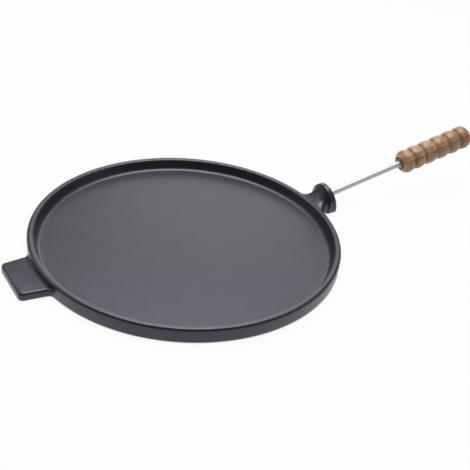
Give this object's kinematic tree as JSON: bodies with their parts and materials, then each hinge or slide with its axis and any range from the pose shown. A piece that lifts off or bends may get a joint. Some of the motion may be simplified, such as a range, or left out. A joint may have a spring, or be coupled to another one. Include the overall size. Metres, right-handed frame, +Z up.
{
  "type": "cast iron pan",
  "caption": "Shallow round cast iron pan with a plain flat floor, a low lifting tab, and a flanged neck with a bright rod that carries a beaded wooden grip.",
  "frame": {"origin": "centre of the flat underside of the dish", "axes": "+Z up, +X from the middle of the dish towards the grip, -X towards the lifting tab"},
  "size_m": [0.6385, 0.3598, 0.079],
  "materials": {
    "cast_iron": "fine matt cast surface, dark violet grey",
    "bright_rod": "bright plated, smooth",
    "turned_wood": "turned brown wood with a satin varnish",
    "grey_nut": "plain grey steel",
    "brass_sleeve": "plain turned brass, hidden in the wood"
  },
  "bodies": {
    "pan": {"pan": "cast_iron"},
    "rod": {"handle_rod": "bright_rod"},
    "grip": {"grip": "turned_wood", "grip_nut": "grey_nut", "grip_sleeve": "brass_sleeve"}
  },
  "joints": [
    {"name": "handle_travel", "type": "slide", "parent": "pan", "child": "rod", "axis": [0.981, 0, 0.1942], "range_m": [0, 0.016]},
    {"name": "handle_turn", "type": "hinge", "parent": "rod", "child": "grip", "pos_m": [0.20135, 0, 0.02081], "axis": [0.981, 0, 0.1942], "range_deg": [0, 4610]}
  ],
  "couplings": [
    {"joint": "handle_turn", "follows": "handle_travel", "rad_per_m": 5026.5}
  ]
}
